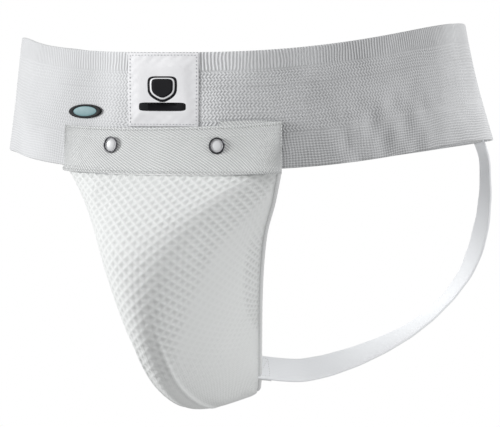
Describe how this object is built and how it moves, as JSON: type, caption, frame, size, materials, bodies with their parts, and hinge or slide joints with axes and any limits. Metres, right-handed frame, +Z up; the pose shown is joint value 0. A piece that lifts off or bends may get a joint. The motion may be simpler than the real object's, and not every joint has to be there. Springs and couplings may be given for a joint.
{
  "type": "groin protector",
  "caption": "Groin guard: wide elastic waistband, mesh pocket holding a hard vented cup under a press-stud flap, and elastic leg straps to the rear of the band.",
  "frame": {"origin": "centre of the waistband ring, at the middle of the band's height at the front", "axes": "+Z up, +X to the wearer's left along the ring's long way, the wearer's front faces -Y"},
  "size_m": [0.3572, 0.2691, 0.2745],
  "materials": {
    "elastic": "ribbed and crimped white knit elastic",
    "strap_elastic": "fine woven white elastic",
    "satin_label": "white satin",
    "badge_rubber": "satin moulded rubber",
    "twill": "white twill weave",
    "knitted_mesh": "white knitted mesh with diamond dimples",
    "lining": "smooth white tricot",
    "cup_plastic": "white moulded plastic",
    "cushion_rubber": "soft matte rubber",
    "stud_metal": "dark plated press stud"
  },
  "bodies": {
    "root": {"waistband_elastic": "elastic", "waistband_seam_tape": "elastic", "front_label": "satin_label", "oval_badge": "badge_rubber", "pouch_mesh": "knitted_mesh", "pouch_lining": "lining", "pouch_seam_tape": "twill", "cup_shell": "cup_plastic", "cup_edge_cushion": "cushion_rubber", "pouch_binding_left": "elastic", "pouch_binding_right": "elastic", "leg_strap_left": "strap_elastic", "leg_strap_right": "strap_elastic", "strap_tab_left": "strap_elastic", "strap_tab_right": "strap_elastic", "strap_anchor_left": "strap_elastic", "strap_anchor_right": "strap_elastic", "stud_post_left": "stud_metal", "stud_post_right": "stud_metal", "stud_back_ring_left": "stud_metal", "stud_back_ring_right": "stud_metal"},
    "flap": {"pocket_flap": "twill", "pocket_flap_hem": "twill", "stud_ring_cap_left": "stud_metal", "stud_ring_cap_right": "stud_metal", "stud_socket_left": "stud_metal", "stud_socket_right": "stud_metal"}
  },
  "joints": [
    {"name": "flap_hinge", "type": "hinge", "parent": "root", "child": "flap", "pos_m": [0, -0.115, -0.0425], "axis": [1, 0, 0], "range_deg": [0, 110]}
  ]
}
